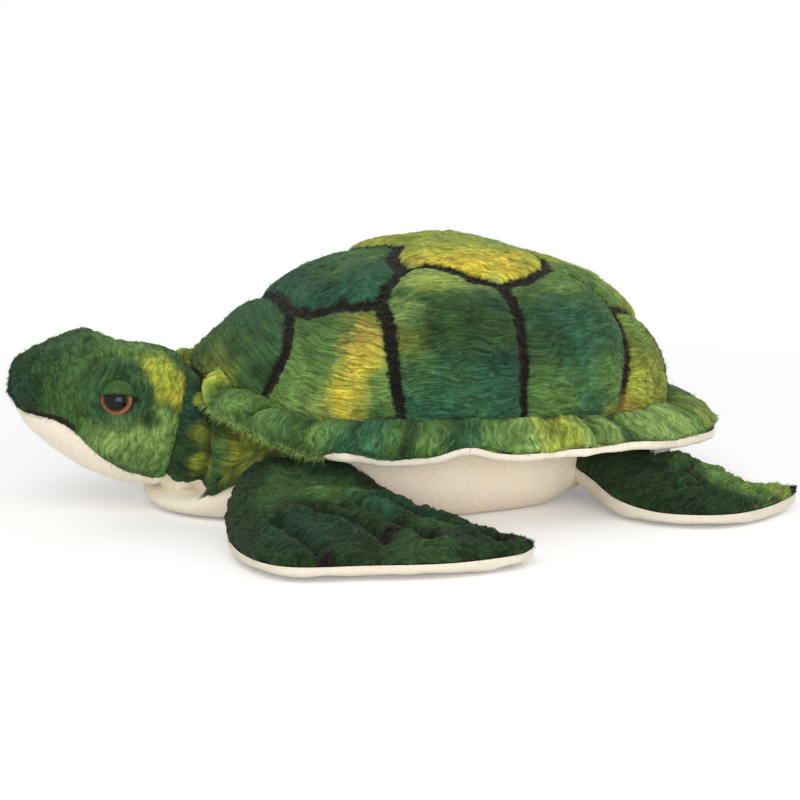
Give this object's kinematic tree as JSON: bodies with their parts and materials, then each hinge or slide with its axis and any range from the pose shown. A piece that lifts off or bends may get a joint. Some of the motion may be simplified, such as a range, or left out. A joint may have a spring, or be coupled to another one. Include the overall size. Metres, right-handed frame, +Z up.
{
  "type": "plush sea turtle toy",
  "caption": "Stuffed plush sea turtle with a domed patterned shell, soft brim, cream underside, raised head with lidded eyes and swinging flippers.",
  "frame": {"origin": "centre of the flat face the belly rests on", "axes": "+Z up, the head points to -X, +Y towards the toy's right-hand flippers"},
  "size_m": [0.4273, 0.412, 0.1498],
  "materials": {
    "carapace_cover": "mottled green plush",
    "brim_upper": "mottled green plush",
    "brim_lining": "cream plush",
    "brim_padding": "loose fibre stuffing",
    "belly_cover": "cream plush",
    "shoulder_cover": "dark green plush",
    "body_filling": "loose fibre stuffing",
    "label": "white satin ribbon",
    "neck_cover": "dark green plush",
    "throat_panel": "cream plush",
    "neck_filling": "loose fibre stuffing",
    "head_cover": "dark green plush",
    "jaw_panel": "cream plush",
    "head_filling": "loose fibre stuffing",
    "eye_left": "glossy amber and black",
    "eyelid_left": "glossy green",
    "eye_washer_left": "plain",
    "eye_right": "glossy amber and black",
    "eyelid_right": "glossy green",
    "eye_washer_right": "plain",
    "front_flipper_left_upper": "dark green plush",
    "front_flipper_left_lower": "cream plush",
    "front_flipper_left_filling": "loose fibre stuffing",
    "front_flipper_right_upper": "dark green plush",
    "front_flipper_right_lower": "cream plush",
    "front_flipper_right_filling": "loose fibre stuffing",
    "rear_flipper_left_upper": "dark green plush",
    "rear_flipper_left_lower": "cream plush",
    "rear_flipper_left_filling": "loose fibre stuffing",
    "rear_flipper_right_upper": "dark green plush",
    "rear_flipper_right_lower": "cream plush",
    "rear_flipper_right_filling": "loose fibre stuffing"
  },
  "bodies": {
    "trunk": {"carapace_cover": "carapace_cover", "brim_upper": "brim_upper", "brim_lining": "brim_lining", "brim_padding": "brim_padding", "belly_cover": "belly_cover", "shoulder_cover": "shoulder_cover", "body_filling": "body_filling", "label": "label"},
    "neck": {"neck_cover": "neck_cover", "throat_panel": "throat_panel", "neck_filling": "neck_filling"},
    "head": {"head_cover": "head_cover", "jaw_panel": "jaw_panel", "head_filling": "head_filling", "eye_left": "eye_left", "eyelid_left": "eyelid_left", "eye_washer_left": "eye_washer_left", "eye_right": "eye_right", "eyelid_right": "eyelid_right", "eye_washer_right": "eye_washer_right"},
    "front_flipper_left": {"front_flipper_left_upper": "front_flipper_left_upper", "front_flipper_left_lower": "front_flipper_left_lower", "front_flipper_left_filling": "front_flipper_left_filling"},
    "front_flipper_right": {"front_flipper_right_upper": "front_flipper_right_upper", "front_flipper_right_lower": "front_flipper_right_lower", "front_flipper_right_filling": "front_flipper_right_filling"},
    "rear_flipper_left": {"rear_flipper_left_upper": "rear_flipper_left_upper", "rear_flipper_left_lower": "rear_flipper_left_lower", "rear_flipper_left_filling": "rear_flipper_left_filling"},
    "rear_flipper_right": {"rear_flipper_right_upper": "rear_flipper_right_upper", "rear_flipper_right_lower": "rear_flipper_right_lower", "rear_flipper_right_filling": "rear_flipper_right_filling"}
  },
  "joints": [
    {"name": "neck_lift", "type": "hinge", "parent": "trunk", "child": "neck", "pos_m": [-0.131, 0, 0.082], "axis": [0, 1, 0], "range_deg": [0, 12], "stiffness_Nm_per_rad": 0.15},
    {"name": "head_twist", "type": "hinge", "parent": "neck", "child": "head", "pos_m": [-0.138, 0, 0.05], "axis": [-0.9659, 0, 0.2588], "range_deg": [-10, 10], "stiffness_Nm_per_rad": 0.1},
    {"name": "front_flipper_left_flap", "type": "hinge", "parent": "trunk", "child": "front_flipper_left", "pos_m": [-0.06786, -0.0476, 0.024], "axis": [0.9544, -0.2984, 0], "range_deg": [-10, 15]},
    {"name": "front_flipper_right_flap", "type": "hinge", "parent": "trunk", "child": "front_flipper_right", "pos_m": [-0.06786, 0.0476, 0.024], "axis": [-0.9544, -0.2984, 0], "range_deg": [-10, 15]},
    {"name": "rear_flipper_left_flap", "type": "hinge", "parent": "trunk", "child": "rear_flipper_left", "pos_m": [0.07879, -0.03592, 0.024], "axis": [0.7695, 0.6387, 0], "range_deg": [-2, 12]},
    {"name": "rear_flipper_right_flap", "type": "hinge", "parent": "trunk", "child": "rear_flipper_right", "pos_m": [0.07879, 0.03592, 0.024], "axis": [-0.7695, 0.6387, 0], "range_deg": [-8, 12]}
  ]
}
